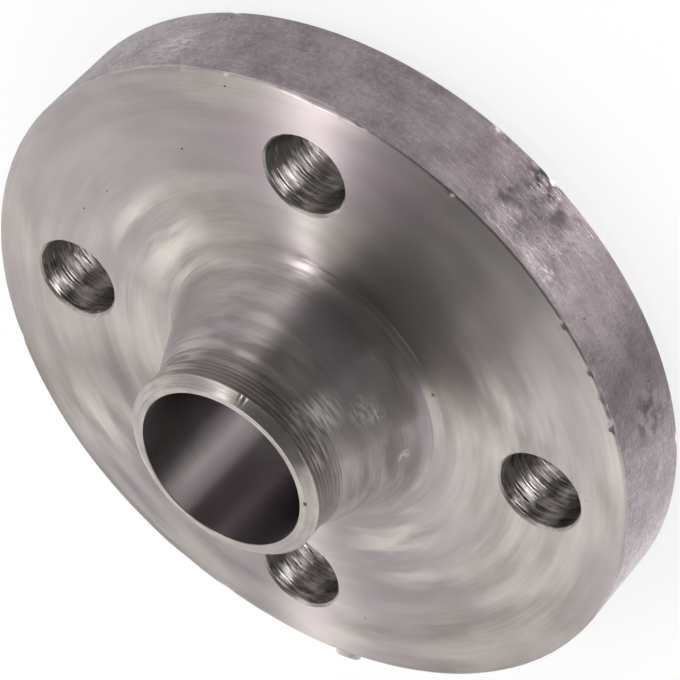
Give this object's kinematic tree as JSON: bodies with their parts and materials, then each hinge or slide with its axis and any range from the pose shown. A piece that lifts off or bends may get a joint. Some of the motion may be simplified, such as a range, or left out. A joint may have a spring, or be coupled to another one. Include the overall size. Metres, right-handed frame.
{
  "type": "weld neck flange",
  "caption": "Steel weld neck flange: a thick round disc with bolt holes, a raised sealing face and a conical hub that ends in a bevelled neck for welding to a pipe.",
  "frame": {"origin": "centre of the sealing face, on the bore's axis", "axes": "+Z along the bore from the sealing face to the weld end; the bolt holes straddle the X and Y axes"},
  "size_m": [0.115, 0.115, 0.0406],
  "materials": {
    "turned_steel": "bare turned steel with a satin sheen, fine concentric tool marks, a few dents and pits"
  },
  "bodies": {
    "root": {"weld_neck_flange": "turned_steel"}
  },
  "joints": []
}
